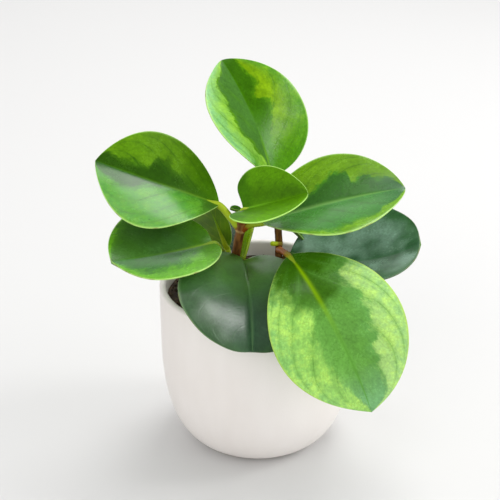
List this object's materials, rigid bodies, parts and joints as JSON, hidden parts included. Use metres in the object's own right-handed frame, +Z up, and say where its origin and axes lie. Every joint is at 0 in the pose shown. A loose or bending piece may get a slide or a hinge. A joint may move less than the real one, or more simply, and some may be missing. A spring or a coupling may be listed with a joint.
{
  "type": "potted peperomia",
  "caption": "Small house plant with thick oval variegated leaves on short woody stems, growing in soil in a round-bottomed ceramic pot with a straight rim.",
  "frame": {"origin": "centre of the pot's flat foot, on the surface that it stands on", "axes": "+Z up along the pot's axis, +X to the right and +Y to the back as seen in the picture"},
  "size_m": [0.1594, 0.1236, 0.1896],
  "materials": {
    "pot_ceramic": "satin",
    "soil": "matte",
    "stem": "satin",
    "leaf_variegated": "satin",
    "leaf_green": "satin",
    "leaf_dark": "satin",
    "leaf_young": "satin"
  },
  "bodies": {
    "root": {"pot": "pot_ceramic", "soil": "soil", "stem_left": "stem", "stem_right": "stem", "leaf_top": "leaf_variegated", "leaf_upper_left": "leaf_green", "leaf_lower_left": "leaf_green", "leaf_centre": "leaf_young", "leaf_right": "leaf_variegated", "leaf_right_back": "leaf_dark", "leaf_front_dark": "leaf_dark", "leaf_front_bright": "leaf_variegated", "leaf_left_back": "leaf_green", "leaf_back_shaded": "leaf_dark", "young_leaf": "leaf_young", "young_leaf_right": "leaf_young", "bud_leaf": "leaf_green", "side_bud": "leaf_young"}
  },
  "joints": []
}
